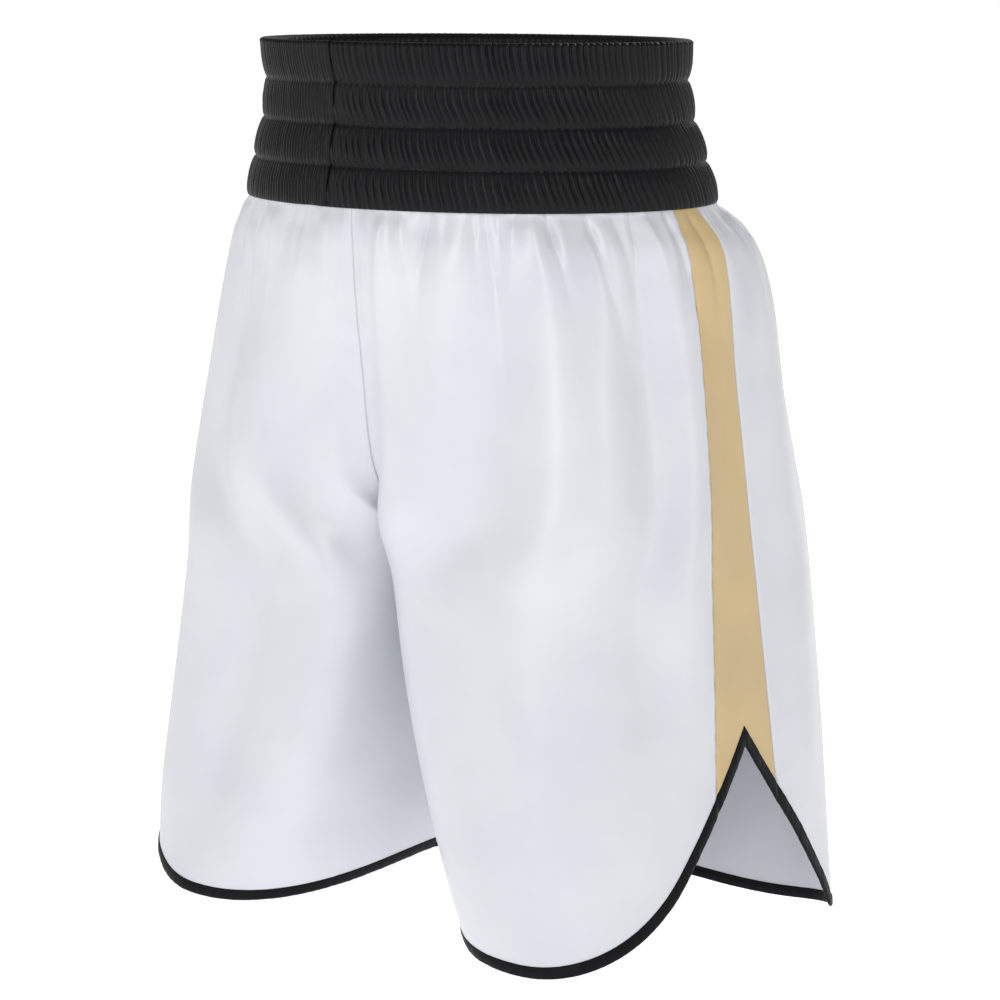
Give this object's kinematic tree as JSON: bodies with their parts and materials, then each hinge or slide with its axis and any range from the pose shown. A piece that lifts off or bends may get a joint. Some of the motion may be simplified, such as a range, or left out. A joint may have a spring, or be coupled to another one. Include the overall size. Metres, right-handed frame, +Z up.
{
  "type": "boxing shorts",
  "caption": "Satin boxing shorts with a high shirred elastic waistband, contrast side stripes and bound side vents.",
  "frame": {"origin": "centre of the waist opening, level with the top rim of the waistband", "axes": "+Z up out of the waist opening, -Y towards the wearer's front, +X towards the wearer's left"},
  "size_m": [0.401, 0.2747, 0.5318],
  "materials": {
    "black_satin": "black polyester satin, shirred into fine upright pleats",
    "white_satin": "white polyester satin with a soft sheen",
    "gold_satin": "pale gold polyester satin",
    "black_tape": "folded black binding tape, matt",
    "elastic": "woven rib elastic, matt",
    "label_cloth": "plain woven label, blank"
  },
  "bodies": {
    "trunk": {"waistband_casing": "black_satin", "elastic_row_1": "elastic", "elastic_row_2": "elastic", "elastic_row_3": "elastic", "elastic_row_4": "elastic", "back_label": "label_cloth", "left_front_seat_panel": "white_satin", "left_back_seat_panel": "white_satin", "left_seat_stripe": "gold_satin", "right_front_seat_panel": "white_satin", "right_back_seat_panel": "white_satin", "right_seat_stripe": "gold_satin"},
    "left_leg": {"left_front_leg_panel": "white_satin", "left_back_leg_panel": "white_satin", "left_leg_stripe": "gold_satin", "left_front_binding": "black_tape", "left_back_binding": "black_tape"},
    "right_leg": {"right_front_leg_panel": "white_satin", "right_back_leg_panel": "white_satin", "right_leg_stripe": "gold_satin", "right_front_binding": "black_tape", "right_back_binding": "black_tape"}
  },
  "joints": [
    {"name": "left_leg_swing", "type": "hinge", "parent": "trunk", "child": "left_leg", "pos_m": [0.09, 0, -0.302], "axis": [1, 0, 0], "range_deg": [-15, 10]},
    {"name": "right_leg_swing", "type": "hinge", "parent": "trunk", "child": "right_leg", "pos_m": [-0.09, 0, -0.302], "axis": [1, 0, 0], "range_deg": [-15, 10]}
  ]
}
